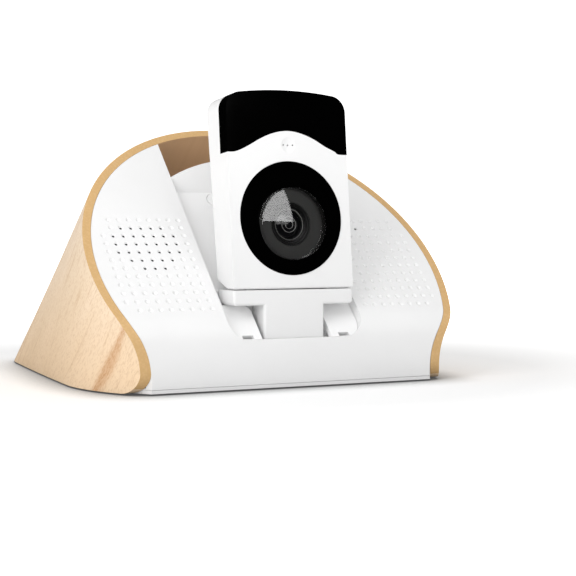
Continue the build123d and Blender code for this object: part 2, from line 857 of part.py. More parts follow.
with BuildPart() as lug_slots:
    for side in (-1, 1):
        with Locations((side * lug_x, hinge_y + 1.0, hinge_z - 1.0)):
            Box(lug_width + 2 * lug_gap, 2 * lug_radius + 2.2, 2 * lug_radius + 3.2)

with BuildPart() as head_front:
    add(head_solid.part)
    add(head_form(head_wall), mode=Mode.SUBTRACT)
    for x in boss_x:
        with Locations((x, camera_y + 5.6, hinge_z + 1.0)):
            Box(boss_width, 7.0, 6.8)
    for point in head_screw_points:
        head_disc(point, head_wall / 2, head_split - head_wall / 2, head_boss_radius)
    add(head_form(0), mode=Mode.INTERSECT)
    add(head_slab(-5, head_split), mode=Mode.INTERSECT)
    add(cap_skin_zone.part, mode=Mode.SUBTRACT)
    add(lug_slots.part, mode=Mode.SUBTRACT)
    with BuildSketch(Plane.YZ.offset(-lug_x - lug_width / 2 - lug_gap - boss_width + 0.6)):
        with Locations((hinge_y, hinge_z)):
            Circle(lug_bore)
    extrude(amount=2 * (lug_x + lug_width / 2 + lug_gap + boss_width - 0.6), mode=Mode.SUBTRACT)
    for point in head_screw_points:
        head_disc(point, head_wall + 0.8, head_split, head_pilot_radius, mode=Mode.SUBTRACT)
    head_disc(disk_point, -1, lens_disk_thick - disk_proud + 1, lens_disk_radius + 0.1,
              mode=Mode.SUBTRACT)
    head_disc(lens_point, 0, head_wall * 2, lens_hole_radius, mode=Mode.SUBTRACT)
    with BuildSketch(HEAD):
        with Locations(window_point):
            RectangleRounded(*window_size, 2)
    extrude(amount=-2 * head_wall, mode=Mode.SUBTRACT)
    with BuildSketch(HEAD):
        with Locations(mic_point):
            with GridLocations(mic_spacing, 0, 3, 1):
                Circle(mic_hole_radius)
    extrude(amount=-2 * head_wall, mode=Mode.SUBTRACT)
    dish_sphere = (mic_dish_radius**2 + mic_dish_depth**2) / (2 * mic_dish_depth)
    with Locations(HEAD.from_local_coords(Vector(*mic_point, dish_sphere - mic_dish_depth))):
        Sphere(dish_sphere, mode=Mode.SUBTRACT)
save(head_front, "head_front_shell")

with BuildPart() as head_rear:
    add(head_form(0))
    add(head_form(head_wall), mode=Mode.SUBTRACT)
    for point in head_screw_points:
        head_disc(point, head_split, 2 * head_split, head_boss_radius)
    add(head_form(0), mode=Mode.INTERSECT)
    add(head_slab(-5, head_split), mode=Mode.SUBTRACT)
    add(lug_slots.part, mode=Mode.SUBTRACT)
    for point in head_screw_points:
        rear = head_thick_bottom + point[1] * tan(rear_lean)
        head_disc(point, head_split, far, head_pilot_radius + 0.2, mode=Mode.SUBTRACT)
        head_disc(point, rear - 2.4, far, 2.1, mode=Mode.SUBTRACT)
save(head_rear, "head_rear_shell")

with BuildPart() as head_screws:
    for point in head_screw_points:
        rear = head_thick_bottom + point[1] * tan(rear_lean)
        head_disc(point, rear - 2.4, 1.4, 1.95)
        head_disc(point, head_wall + 1.4, rear - 2.4 - head_wall - 1.4, head_screw_radius)
save(head_screws, "head_screws")

with BuildPart() as lens_disk:
    head_disc(disk_point, -disk_proud, lens_disk_thick, lens_disk_radius)
    chamfer(lens_disk.edges().sort_by(Axis.Y)[0], disk_proud / 2)
    head_disc(lens_point, -1, 4, dome_radius + 0.1, mode=Mode.SUBTRACT)
save(lens_disk, "lens_disk")

LENS = Plane(
    origin=HEAD.from_local_coords(Vector(*lens_point, 0)),
    x_dir=(1, 0, 0),
    z_dir=HEAD.y_dir,
)
seat = lens_disk_thick - disk_proud


def lens_turned(*profile):
    """Ring turned about the lens axis: profile of (radius, distance in front of the head)."""
    with BuildSketch(LENS, mode=Mode.PRIVATE) as section:
        with BuildLine():
            Polyline(*[(r, -front) for r, front in profile], close=True)
        make_face()
    revolve(section.sketch, axis=Axis(LENS.origin, HEAD.z_dir))


dome_sphere = (dome_radius**2 + dome_height**2) / (2 * dome_height)


def dome_edge(radius, shrink):
    """Point of the dome's section at a radius, on the sphere smaller by shrink."""
    front = dome_height - dome_sphere + sqrt((dome_sphere - shrink) ** 2 - radius**2)
    return (radius, -front)


with BuildPart() as lens_dome:
    inner = dome_radius - dome_skin
    with BuildSketch(LENS):
        with BuildLine():
            ThreePointArc(dome_edge(0, 0), dome_edge(dome_radius / 2, 0), dome_edge(dome_radius, 0))
            Polyline(
                dome_edge(dome_radius, 0), (dome_radius, seat), (inner, seat),
                dome_edge(inner, dome_skin),
            )
            ThreePointArc(
                dome_edge(inner, dome_skin), dome_edge(inner / 2, dome_skin), dome_edge(0, dome_skin)
            )
            Line(dome_edge(0, dome_skin), dome_edge(0, 0))
        make_face()
    revolve(axis=Axis(LENS.origin, HEAD.z_dir))
save(lens_dome, "lens_dome")

with BuildPart() as lens_cup:
    lens_turned(
        (barrel_radius + 0.1, -3.8), (barrel_radius + 0.1, -1.6), (lens_hole_radius, -1.3),
        (lens_hole_radius, -3.8),
    )
save(lens_cup, "lens_cup")

with BuildPart() as lens_barrel:
    lens_turned(
        (3.65, -9.0), (3.65, -4.4), (6.9, -4.4), (6.9, -2.4), (7.9, -1.3), (9.0, -0.8),
        (barrel_radius, -0.8), (barrel_radius, -10.5), (0, -10.5), (0, -9.0),
    )
save(lens_barrel, "lens_barrel")

with BuildPart() as lens_element:
    element_radius = 6.5
    element_rise = 1.9
    element_sphere = (element_radius**2 + element_rise**2) / (2 * element_rise)
    with Locations(HEAD.from_local_coords(Vector(*lens_point, element_rise - element_sphere - 4.4))):
        Sphere(element_sphere)
    add(head_slab(0, 4.4), mode=Mode.INTERSECT)
save(lens_element, "lens_element")


def head_board(point, size, depth, thickness):
    """Flat board or chip square to the head's front."""
    with BuildSketch(HEAD.offset(-depth), mode=Mode.PRIVATE) as board:
        with Locations(point):
            RectangleRounded(*size, 0.8)
    extrude(board.sketch, amount=-thickness)


with BuildPart() as sensor_board:
    head_board(lens_point, (24, 24), 10.5, 1.2)
save(sensor_board, "sensor_board")

board_low = 16.0
board_plate = 1.2
board_depth = 11.8
board_face = (camera_width - 20, head_height - 24.7)
board_point = (0, board_low + board_face[1] / 2)

with BuildPart() as camera_board:
    head_board(board_point, board_face, board_depth, board_plate)
    head_board((0, cap_low + 1.5), (12, 12), board_depth - 1.4, 1.4)
    head_board((camera_width / 5, window_low + 2), (8, 6), board_depth - 1.0, 1.0)
save(camera_board, "camera_board")

with BuildPart() as ir_led_board:
    head_board(window_point, (window_size[0] - 4, window_size[1] - 1), 5.0, 1.0)
save(ir_led_board, "ir_led_board")

with BuildPart() as ir_leds:
    for step in (-2.5, -1.5, -0.5, 0.5, 1.5, 2.5):
        head_disc((step * window_size[0] / 7, window_point[1]), 2.6, 2.4, 1.5)
save(ir_leds, "ir_leds")

with BuildPart() as head_microphone:
    head_disc(mic_point, head_wall, 2.2, 3.0)
save(head_microphone, "head_microphone")

pin_reach = lug_width / 2 + lug_gap + boss_width - 0.7
with BuildPart() as tilt_pins:
    for side in (-1, 1):
        with BuildSketch(Plane.YZ.offset(side * lug_x - pin_reach)):
            with Locations((hinge_y, hinge_z)):
                Circle(pin_radius)
        extrude(amount=2 * pin_reach)
save(tilt_pins, "tilt_pins")

with BuildPart() as friction_washers:
    for side in (-1, 1):
        for shift in (-1, 1):
            middle_x = side * lug_x + shift * (lug_width / 2 + lug_gap / 2)
            with BuildSketch(Plane.YZ.offset(middle_x - 0.125)):
                with Locations((hinge_y, hinge_z)):
                    Circle(lug_radius - 0.4)
                    Circle(lug_bore, mode=Mode.SUBTRACT)
            extrude(amount=0.25)
save(friction_washers, "friction_washers")
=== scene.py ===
"""Baby monitor camera standing in its docking station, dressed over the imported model."""
from math import cos, hypot, pi, radians, sin, sqrt

import bmesh
import bpy
from mathutils import Matrix, Vector


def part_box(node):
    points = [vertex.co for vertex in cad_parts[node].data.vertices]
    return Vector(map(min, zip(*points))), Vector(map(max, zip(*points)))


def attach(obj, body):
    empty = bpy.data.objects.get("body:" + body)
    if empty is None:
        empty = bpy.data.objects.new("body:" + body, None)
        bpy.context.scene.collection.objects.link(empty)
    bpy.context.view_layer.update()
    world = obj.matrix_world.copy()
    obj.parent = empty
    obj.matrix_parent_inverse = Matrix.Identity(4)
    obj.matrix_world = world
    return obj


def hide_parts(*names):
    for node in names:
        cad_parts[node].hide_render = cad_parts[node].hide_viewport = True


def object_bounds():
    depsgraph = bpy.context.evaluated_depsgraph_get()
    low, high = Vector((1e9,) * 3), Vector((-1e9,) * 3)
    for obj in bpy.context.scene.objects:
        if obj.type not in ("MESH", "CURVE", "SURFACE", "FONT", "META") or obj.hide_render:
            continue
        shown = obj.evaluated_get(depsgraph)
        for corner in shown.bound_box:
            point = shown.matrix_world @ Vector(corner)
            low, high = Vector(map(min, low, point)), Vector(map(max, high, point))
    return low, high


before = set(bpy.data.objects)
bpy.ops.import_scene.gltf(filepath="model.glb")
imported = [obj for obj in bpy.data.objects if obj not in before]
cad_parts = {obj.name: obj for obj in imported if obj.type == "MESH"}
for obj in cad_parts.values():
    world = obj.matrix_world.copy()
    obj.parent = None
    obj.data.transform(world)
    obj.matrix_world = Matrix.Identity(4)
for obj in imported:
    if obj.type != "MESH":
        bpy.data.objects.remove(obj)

cad_low, cad_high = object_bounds()

# ---------------------------------------------------------------- studio
# The station stands on a white table in a white room. A wide soft box hangs over the front, a
# smaller one stands at the left, and the walls add a low even light from all round. An upright
# card in front is seen only in reflections, above all in the dome.
scene = bpy.context.scene
scene.view_settings.view_transform = "Standard"

camera_data = bpy.data.cameras.new("view")
camera_data.lens = 91.4
camera_data.sensor_width = 36.0
camera_data.clip_end = 20.0
tilt_down, turn_right = radians(2.044), radians(28.363)
camera = bpy.data.objects.new("view", camera_data)
camera.location = (-0.3092, -0.6640, 0.0671)
camera.rotation_euler = (radians(90) - tilt_down, 0.0, -turn_right)
scene.collection.objects.link(camera)
scene.camera = camera


def node(tree, kind, **values):
    """Adds a shader node. A value is a setting, a constant, or another node's output socket."""
    made = tree.nodes.new(kind)
    for key, value in values.items():
        if key.startswith("in") and key[2:].isdigit():
            socket = made.inputs[int(key[2:])]
        elif key in made.inputs:
            socket = made.inputs[key]
        else:
            setattr(made, key, value)
            continue
        if isinstance(value, bpy.types.NodeSocket):
            tree.links.new(value, socket)
        elif isinstance(value, tuple) and len(value) == 3 and socket.type == "RGBA":
            socket.default_value = (*value, 1.0)
        else:
            socket.default_value = value
    return made


def maths(tree, kind, first, second=0.0):
    return node(tree, "ShaderNodeMath", operation=kind, in0=first, in1=second).outputs[0]


# the walls behind the view are lit white; polished parts mirror the dark side of the room
room_light = 0.66
backdrop_light = 1.35
mirrored_light = 0.01
room = bpy.data.worlds.new("white_room")
room.use_nodes = True
walls = room.node_tree.nodes["Background"]
walls.inputs["Color"].default_value = (1.0, 1.0, 1.0, 1.0)
ray = node(room.node_tree, "ShaderNodeLightPath")
backdrop = maths(
    room.node_tree, "MULTIPLY", ray.outputs["Is Camera Ray"], backdrop_light - room_light
)
mirrored = maths(
    room.node_tree, "MULTIPLY", ray.outputs["Is Glossy Ray"], mirrored_light - room_light
)
strength = maths(room.node_tree, "ADD", backdrop, mirrored)
strength = maths(room.node_tree, "ADD", strength, room_light)
room.node_tree.links.new(strength, walls.inputs["Strength"])
scene.world = room
lamps_aim_at = Vector((0.0, -0.09, 0.08))


def soft_box(name, bearing, height, distance, size, watts, upright=False):
    """Lamp aimed at the station, or standing upright: bearing is from ahead towards the left."""
    data = bpy.data.lights.new(name, "AREA")
    data.shape = "RECTANGLE"
    data.size, data.size_y = size
    data.energy = watts
    lamp = bpy.data.objects.new(name, data)
    side, rise = radians(bearing), radians(height)
    away = Vector((-sin(side) * cos(rise), -cos(side) * cos(rise), sin(rise)))
    lamp.location = lamps_aim_at + away * distance
    if upright:
        away.z = 0.0
    lamp.rotation_euler = away.to_track_quat("Z", "Y").to_euler()
    scene.collection.objects.link(lamp)
    return lamp


overhead_box = soft_box("overhead_box", 27.0, 56.0, 1.3, (1.5, 1.15), 6.2)
overhead_box.visible_glossy = False
soft_box("left_box", 68.0, 20.0, 0.9, (0.5, 0.5), 2.8)
front_card = soft_box("front_card", 8.0, 36.0, 1.21, (1.27, 1.0), 8.5, upright=True)
front_card.visible_diffuse = False


def finish(name, colour, roughness, sockets={}):
    """New material; constants go straight on the shader's own sockets."""
    material = bpy.data.materials.new(name)
    material.use_nodes = True
    shader = material.node_tree.nodes["Principled BSDF"]
    shader.inputs["Base Color"].default_value = (*colour, 1.0)
    shader.inputs["Roughness"].default_value = roughness
    for socket, value in sockets.items():
        shader.inputs[socket].default_value = value
    return material, material.node_tree, shader


table_half = 6.0
table_corners = ((-1, -1), (1, -1), (1, 1), (-1, 1))
table_mesh = bpy.data.meshes.new("table_top")
table_mesh.from_pydata(
    [(x * table_half, y * table_half, 0.0) for x, y in table_corners], [], [(0, 1, 2, 3)]
)
table_white, tree, shader = finish(
    "table_white", (0.93, 0.93, 0.93), 0.9,
    {"Specular IOR Level": 0.1, "Emission Color": (1.0, 1.0, 1.0, 1.0)},
)
# painted light: the table glows more and more away from the station, standing in for a lit sweep
reach = node(
    tree, "ShaderNodeVectorMath", operation="LENGTH",
    in0=node(tree, "ShaderNodeTexCoord").outputs["Object"],
).outputs["Value"]
painted_glow = node(
    tree, "ShaderNodeMapRange", Value=reach,
    **{"From Min": 0.17, "From Max": 0.6, "To Min": 0.06, "To Max": 1.2},
)
tree.links.new(painted_glow.outputs["Result"], shader.inputs["Emission Strength"])
# and painted shade: its colour falls dark close under the edges of the hood and the base, a painted
# contact shadow
painted_contact_shadow = node(tree, "ShaderNodeAmbientOcclusion", samples=8, Distance=0.022).outputs["AO"]
painted_contact_shadow = node(
    tree, "ShaderNodeMapRange", Value=painted_contact_shadow,
    **{"From Min": 0.30, "From Max": 0.97, "To Min": 0.15, "To Max": 0.93},
)
painted_contact_shadow = painted_contact_shadow.outputs["Result"]
painted_shadow_tone = node(tree, "ShaderNodeCombineColor", Red=painted_contact_shadow, Green=painted_contact_shadow, Blue=painted_contact_shadow)
tree.links.new(painted_shadow_tone.outputs["Color"], shader.inputs["Base Color"])
table_mesh.materials.append(table_white)
table_top = bpy.data.objects.new("table_top", table_mesh)
scene.collection.objects.link(table_top)
# and polished parts don't mirror it
table_top.visible_glossy = False

# ---------------------------------------------------------------- plywood hood
# One sheet of plywood bent round the dock, veneered in pale maple outside and coloured a darker
# brown inside. Its grain runs down the straight lines of the bend; the cut edge shows the plies.
grain_lean = radians(37.5)
maple = (0.81, 0.65, 0.475)
maple_light = (0.85, 0.69, 0.525)
maple_warm = (0.81, 0.60, 0.39)
maple_painted_sheen = (0.80, 0.685, 0.56)
maple_line = (0.62, 0.42, 0.25)
maple_streak = (0.50, 0.23, 0.08)
cut_tan = (0.60, 0.38, 0.165)
cut_tan_light = (0.64, 0.415, 0.195)
inside_brown = (0.60, 0.375, 0.205)
inside_dark = (0.54, 0.33, 0.175)


def blend_colour(tree, amount, first, second):
    made = node(tree, "ShaderNodeMix", data_type="RGBA", in0=amount, in6=first, in7=second)
    return made.outputs[2]


def ramp(tree, source, low, high, top=1.0):
    """Smooth step of a value from 0 at low to top at high."""
    made = node(
        tree, "ShaderNodeMapRange", interpolation_type="SMOOTHSTEP", Value=source,
        **{"From Min": low, "From Max": high, "To Min": 0.0, "To Max": top},
    )
    return made.outputs["Result"]


def dress(material, *names):
    """These CAD nodes keep their shape and take this finish."""
    for name in names:
        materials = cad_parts[name].data.materials
        materials.clear()
        materials.append(material)


plywood, tree, shader = finish("maple_plywood", maple, 0.46, {"Specular IOR Level": 0.3})
place = node(tree, "ShaderNodeTexCoord")
leaned = node(
    tree, "ShaderNodeMapping", Vector=place.outputs["Object"], Rotation=(grain_lean, 0.0, 0.0)
)
leaned = node(tree, "ShaderNodeSeparateXYZ", Vector=leaned.outputs["Vector"])
# below this line of the side the grain fans out on its way down to the table
fan_line = -0.0176
fan_middle = -0.0734
fan_rate = 9.0
fan_least = 0.3
above = maths(tree, "SUBTRACT", leaned.outputs["Z"], fan_line)
run = maths(tree, "SUBTRACT", leaned.outputs["Y"], fan_middle)
spread = maths(tree, "ADD", maths(tree, "MULTIPLY", run, fan_rate), 1.0)
spread = maths(tree, "MAXIMUM", spread, fan_least)
fanned = maths(tree, "DIVIDE", maths(tree, "MINIMUM", above, 0.0), spread)
across = maths(tree, "ADD", fanned, maths(tree, "MAXIMUM", above, 0.0))
grain_place = node(
    tree, "ShaderNodeCombineXYZ", X=leaned.outputs["X"], Y=leaned.outputs["Y"], Z=across
).outputs["Vector"]


def grain(scale, lengthwise, detail=2.0, distortion=0.0):
    """Noise drawn out along the grain; both scales are per metre."""
    drawn = node(tree, "ShaderNodeMapping", Vector=grain_place, Scale=(scale, lengthwise, scale))
    made = node(
        tree, "ShaderNodeTexNoise", Vector=drawn.outputs["Vector"], Scale=1.0, Detail=detail,
        Roughness=0.6, Distortion=distortion,
    )
    return made.outputs["Fac"]


broad = grain(45.0, 4.0, 3.0, 0.5)
lines = grain(420.0, 5.0, 2.0, 0.25)
flecks = grain(1600.0, 450.0, 2.0)
dashes = grain(800.0, 150.0, 3.0)
face = blend_colour(tree, ramp(tree, broad, 0.35, 0.65), maple, maple_light)
# warmer down at the table, and paler up on the crown: a painted sheen where the crown catches the
# light
height = node(tree, "ShaderNodeSeparateXYZ", Vector=place.outputs["Object"]).outputs["Z"]
face = blend_colour(tree, ramp(tree, height, 0.06, 0.0, 0.8), face, maple_warm)
face = blend_colour(tree, ramp(tree, height, 0.045, 0.10, 0.85), face, maple_painted_sheen)
# darker grain lines, and the short flecks and dashes between them
face = blend_colour(tree, ramp(tree, lines, 0.58, 0.70, 0.5), face, maple_line)
face = blend_colour(tree, ramp(tree, flecks, 0.48, 0.66, 0.45), face, maple_line)
face = blend_colour(tree, ramp(tree, dashes, 0.54, 0.70, 0.35), face, maple_line)

# the one brown streak low at the left front, a spindle that lies along the grain
streak_line = -0.0252
streak_half = 0.014
streak_core = 0.0006
streak_swell = 0.0034
streak_wander = 0.002
left_side = -0.03
share = maths(tree, "DIVIDE", run, streak_half)
width = maths(
    tree, "DIVIDE", streak_swell,
    maths(tree, "ADD", maths(tree, "MULTIPLY", share, share), 1.0),
)
width = maths(tree, "ADD", width, streak_core)
wander = maths(tree, "SUBTRACT", grain(240.0, 60.0, 3.0), 0.5)
wander = maths(tree, "MULTIPLY", wander, streak_wander)
off = maths(tree, "ADD", maths(tree, "SUBTRACT", across, streak_line), wander)
off = maths(tree, "DIVIDE", maths(tree, "ABSOLUTE", off), width)
streak = maths(tree, "SUBTRACT", 1.0, ramp(tree, off, 0.1, 1.3))
speckle = maths(tree, "ADD", ramp(tree, flecks, 0.40, 0.62, 0.25), 0.45)
at_left = maths(tree, "LESS_THAN", leaned.outputs["X"], left_side)
streak = maths(tree, "MULTIPLY", maths(tree, "MULTIPLY", streak, at_left), speckle)
face = blend_colour(tree, streak, face, maple_streak)

# a face that looks away from the middle of the tunnel is outside; one that looks ahead is cut
tunnel_middle = 0.03
looks_ahead = -0.64
normal = node(tree, "ShaderNodeSeparateXYZ", Vector=place.outputs["Normal"])
spot = node(tree, "ShaderNodeSeparateXYZ", Vector=place.outputs["Object"])
above_middle = maths(tree, "SUBTRACT", spot.outputs["Z"], tunnel_middle)
outward = maths(
    tree, "ADD",
    maths(tree, "MULTIPLY", normal.outputs["X"], spot.outputs["X"]),
    maths(tree, "MULTIPLY", normal.outputs["Z"], above_middle),
)
is_inside = maths(tree, "LESS_THAN", outward, 0.0)
is_cut = maths(tree, "LESS_THAN", normal.outputs["Y"], looks_ahead)
inner = blend_colour(tree, ramp(tree, broad, 0.35, 0.7), inside_brown, inside_dark)
plies = node(tree, "ShaderNodeTexNoise", Vector=place.outputs["Object"], Scale=900.0, Detail=2.0)
cut = blend_colour(tree, ramp(tree, plies.outputs["Fac"], 0.4, 0.7), cut_tan, cut_tan_light)
whole = blend_colour(tree, is_inside, face, inner)
whole = blend_colour(tree, is_cut, whole, cut)
tree.links.new(whole, shader.inputs["Base Color"])
pore_depth = 0.00004
raised = maths(tree, "SUBTRACT", 1.0, flecks)
pores = node(tree, "ShaderNodeBump", Strength=0.5, Distance=pore_depth, Height=raised)
tree.links.new(pores.outputs["Normal"], shader.inputs["Normal"])
satin = maths(tree, "ADD", ramp(tree, broad, 0.2, 0.8, 0.1), 0.42)
tree.links.new(satin, shader.inputs["Roughness"])
dress(plywood, "wood_hood", "hood_cleats")

# ---------------------------------------------------------------- white front and its grille
# Moulded in white ABS with a fine satin grain. Both wings carry a square grid of dimples. Over
# the speaker and the microphone the dimples open through small mouths in thin webs, and a black
# stud stands behind each mouth as painted shade.
front_lean = radians(43.2)
rim_behind_front = 0.0235
rim_height = 0.0538
hoop_place = Vector((0.0, cad_low[1] + rim_behind_front, rim_height))
front_out = Vector((0.0, -cos(front_lean), sin(front_lean)))
front_up = Vector((0.0, sin(front_lean), cos(front_lean)))
hole_pitch = 0.0048
grille_half_gap = 8.06
grille_rows = 12
grille_columns = 8
long_rows = range(2, 11)
grille_rise = 0.0015
dimple_radius = 0.0012
dimple_floor = 0.00035
dimple_depth = 0.0007
cutter_stand = 0.0002
dimple_sides = 16
microphone_hole = (1, 1, 3)
speaker_across = -0.0579
speaker_rise = 0.0118
sound_radius = 0.01586
mouth_radius = 0.00064
web_back = 0.00078
plug_radius = 0.00088
plug_front = 0.0001
stud_radius = 0.0007
stud_length = 0.0023
stud_gap = 0.00006


def moulded(name, colour, roughness, sockets={}, grain_size=1300.0, grain_depth=0.000012):
    """Moulded plastic: a fine eroded grain in its bump, and a trace of uneven tone and gloss."""
    material, tree, shader = finish(name, colour, roughness, sockets)
    place = node(tree, "ShaderNodeTexCoord").outputs["Object"]
    fine = node(tree, "ShaderNodeTexNoise", Vector=place, Scale=grain_size, Detail=3.0)
    bump = node(
        tree, "ShaderNodeBump", Strength=0.35, Distance=grain_depth, Height=fine.outputs["Fac"]
    )
    tree.links.new(bump.outputs["Normal"], shader.inputs["Normal"])
    cloudy = node(tree, "ShaderNodeTexNoise", Vector=place, Scale=30.0, Detail=4.0).outputs["Fac"]
    duller = tuple(0.975 * level for level in colour)
    tone = blend_colour(tree, ramp(tree, cloudy, 0.3, 0.7), colour, duller)
    tree.links.new(tone, shader.inputs["Base Color"])
    gloss = maths(tree, "ADD", roughness, ramp(tree, cloudy, 0.3, 0.7, 0.05))
    tree.links.new(gloss, shader.inputs["Roughness"])
    return material


front_white = moulded("front_white", (0.80, 0.80, 0.80), 0.5, {"Specular IOR Level": 0.3})


def round_shape(shape, spot, profile):
    """Adds a closed round plug or cutter square to the front: (radius, depth) from deep to proud."""
    turn = front_out.to_track_quat("Z", "Y").to_matrix()
    rings = []
    for radius, depth in profile:
        rings.append([
            shape.verts.new(spot + turn @ Vector((
                radius * cos(2 * pi * side / dimple_sides),
                radius * sin(2 * pi * side / dimple_sides), -depth,
            )))
            for side in range(dimple_sides)
        ])
    shape.faces.new(rings[0][::-1])
    for lower, upper in zip(rings, rings[1:]):
        for side in range(dimple_sides):
            after = (side + 1) % dimple_sides
            shape.faces.new((lower[side], lower[after], upper[after], upper[side]))
    shape.faces.new(rings[-1])


slope = (dimple_radius - dimple_floor) / dimple_depth
mouth_depth = (dimple_radius - mouth_radius) / slope
proud = (dimple_radius + slope * cutter_stand, -cutter_stand)
dimple_profile = [(dimple_floor, dimple_depth), proud]
hole_profile = [(mouth_radius, web_back + cutter_stand), (mouth_radius, mouth_depth), proud]
plug_profile = [(plug_radius, web_back), (plug_radius, plug_front)]
stud_profile = [(stud_radius, stud_length), (stud_radius, web_back + stud_gap)]
sound_spots = []
cutters, plugs = bmesh.new(), bmesh.new()
for wing in (-1, 1):
    for row in range(grille_rows):
        rise = grille_rise + ((grille_rows - 1) / 2 - row) * hole_pitch
        columns = grille_columns + 1 if row in long_rows else grille_columns
        for column in range(columns):
            across = wing * (grille_half_gap + column) * hole_pitch
            spot = hoop_place + Vector((across, 0.0, 0.0)) + front_up * rise
            over_speaker = hypot(across - speaker_across, rise - speaker_rise) < sound_radius
            if over_speaker or (wing, row, column) == microphone_hole:
                sound_spots.append(spot)
                round_shape(plugs, spot, plug_profile)
                round_shape(cutters, spot, hole_profile)
            else:
                round_shape(cutters, spot, dimple_profile)

front = bpy.data.objects.new("dimpled_front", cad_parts["front_fascia"].data.copy())
scene.collection.objects.link(front)
for name, operation, shape in (("webs", "UNION", plugs), ("dimples", "DIFFERENCE", cutters)):
    tool_mesh = bpy.data.meshes.new(name)
    shape.to_mesh(tool_mesh)
    shape.free()
    tool = bpy.data.objects.new(name, tool_mesh)
    scene.collection.objects.link(tool)
    carve = front.modifiers.new(name, "BOOLEAN")
    carve.operation = operation
    carve.solver = "EXACT"
    carve.object = tool
    depsgraph = bpy.context.evaluated_depsgraph_get()
    carved = bpy.data.meshes.new_from_object(front.evaluated_get(depsgraph))
    front.modifiers.clear()
    front.data = carved
    bpy.data.objects.remove(tool)
front.data.materials.clear()
front.data.materials.append(front_white)


def in_micrometres(spot):
    return tuple(round(value * 1e6) for value in spot)


def keep_shading(carved_mesh, moulded_mesh):
    """Corners that the carving left alone take back the smooth shading of the moulding."""
    same_face = 0.9
    known = {}
    for polygon in moulded_mesh.polygons:
        for loop in polygon.loop_indices:
            spot = moulded_mesh.vertices[moulded_mesh.loops[loop].vertex_index].co
            shading = moulded_mesh.corner_normals[loop].vector
            known.setdefault(in_micrometres(spot), []).append((polygon.normal.copy(), shading.copy()))
    normals = []
    for polygon in carved_mesh.polygons:
        polygon.material_index = 0
        polygon.use_smooth = True
        for loop in polygon.loop_indices:
            spot = carved_mesh.vertices[carved_mesh.loops[loop].vertex_index].co
            choices = known.get(in_micrometres(spot))
            normal = polygon.normal
            if choices:
                nearest = max(choices, key=lambda pair: pair[0].dot(polygon.normal))
                if nearest[0].dot(polygon.normal) > same_face:
                    normal = nearest[1]
            normals.append(normal)
    carved_mesh.normals_split_custom_set(normals)


keep_shading(front.data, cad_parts["front_fascia"].data)
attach(front, "dock")
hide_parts("front_fascia")

# painted shade: one black stud stands just clear of the back of each web, so each mouth reads dark
black_foam = moulded("black_foam", (0.006, 0.006, 0.006), 0.9, {"Specular IOR Level": 0.1})
studs = bmesh.new()
for spot in sound_spots:
    round_shape(studs, spot, stud_profile)
shade_stud_mesh = bpy.data.meshes.new("foam_studs")
studs.to_mesh(shade_stud_mesh)
studs.free()
shade_stud_mesh.materials.append(black_foam)
foam = bpy.data.objects.new("foam_studs", shade_stud_mesh)
scene.collection.objects.link(foam)
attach(foam, "dock")

# ---------------------------------------------------------------- channel, panel, keys, base
# The parts behind the front are moulded in the same white ABS: the floor of the channel with the
# seat for the camera, the arched panel and hand recess, the rear panel, the keys and the base.
# The cradle, the hand recess and the keys take a lighter white than the front: painted light that
# lifts the shade in the channel.
channel_white = moulded("channel_white", (0.88, 0.88, 0.88), 0.55)
base_white = moulded("base_white", (0.78, 0.78, 0.78), 0.6)
dress(channel_white, "cradle", "handle_tub", "volume_up_key", "volume_down_key")
dress(base_white, "base_tray", "rear_panel")

# ---------------------------------------------------------------- camera shells
# Foot and head are moulded in white ABS like the dock, with a tighter, shallower grain and a
# little more gloss. The head's two shells meet on a line round its side.
camera_white = moulded(
    "camera_white", (0.75, 0.75, 0.75), 0.36, {"Specular IOR Level": 0.3},
    grain_size=2200.0, grain_depth=0.000005,
)
dress(camera_white, "foot_shell", "foot_cover", "head_front_shell", "head_rear_shell")

# ---------------------------------------------------------------- black window and lens plate
# Deep black acrylic with a polished skin. The window wraps over the head's top and sides; the
# plate is a flat disk let into the front around the lens.
black_acrylic = moulded(
    "black_acrylic", (0.0003, 0.0003, 0.0003), 0.05, {"Specular IOR Level": 0.06},
    grain_size=900.0, grain_depth=0.000001,
)
dress(black_acrylic, "ir_window", "lens_disk")

# ---------------------------------------------------------------- lens
# A clear moulded dome stands over a black cup ring, and inside that the stepped barrel with its
# three fine rims and the coated front glass. All are round about one axis, square to the head.
head_lean = radians(5.4)
lens_axis = Vector((0.0, -cos(head_lean), sin(head_lean)))
head_turn = lens_axis.to_track_quat("Z", "Y").to_matrix().to_4x4()
dome_radius = 0.0160
dome_height = 0.0050
dome_skin = 0.0007
turn_steps = 128
sharp_corner = radians(35)


def turned(name, profile, material, slot, *replaced):
    """Piece turned about the lens axis from a closed profile of (radius, distance forward)."""
    shape = bmesh.new()
    rings = []
    for step in range(turn_steps):
        angle = 2 * pi * step / turn_steps
        rings.append([
            shape.verts.new((radius * cos(angle), radius * sin(angle), forward))
            for radius, forward in profile
        ])
    for step in range(turn_steps):
        near, far = rings[step], rings[(step + 1) % turn_steps]
        for i in range(len(profile)):
            j = (i + 1) % len(profile)
            shape.faces.new((near[i], far[i], far[j], near[j]))
    bmesh.ops.remove_doubles(shape, verts=shape.verts, dist=1e-7)
    bmesh.ops.dissolve_degenerate(shape, edges=shape.edges, dist=1e-8)
    bmesh.ops.recalc_face_normals(shape, faces=shape.faces)
    shape.transform(Matrix.Translation(lens_origin) @ head_turn)
    mesh = bpy.data.meshes.new(name)
    shape.to_mesh(mesh)
    shape.free()
    mesh.materials.append(material)
    mesh.shade_smooth()
    mesh.set_sharp_from_angle(angle=sharp_corner)
    piece = bpy.data.objects.new(name, mesh)
    scene.collection.objects.link(piece)
    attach(piece, "camera_head")
    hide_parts(*replaced)
    return piece


def cap_profile(radius, height, count):
    """Spherical cap from its apex to its rim."""
    sphere = (radius**2 + height**2) / (2 * height)
    points = []
    for step in range(count + 1):
        r = radius * sin(pi / 2 * step / count)
        points.append((r, height - sphere + sqrt(sphere**2 - r**2)))
    return points


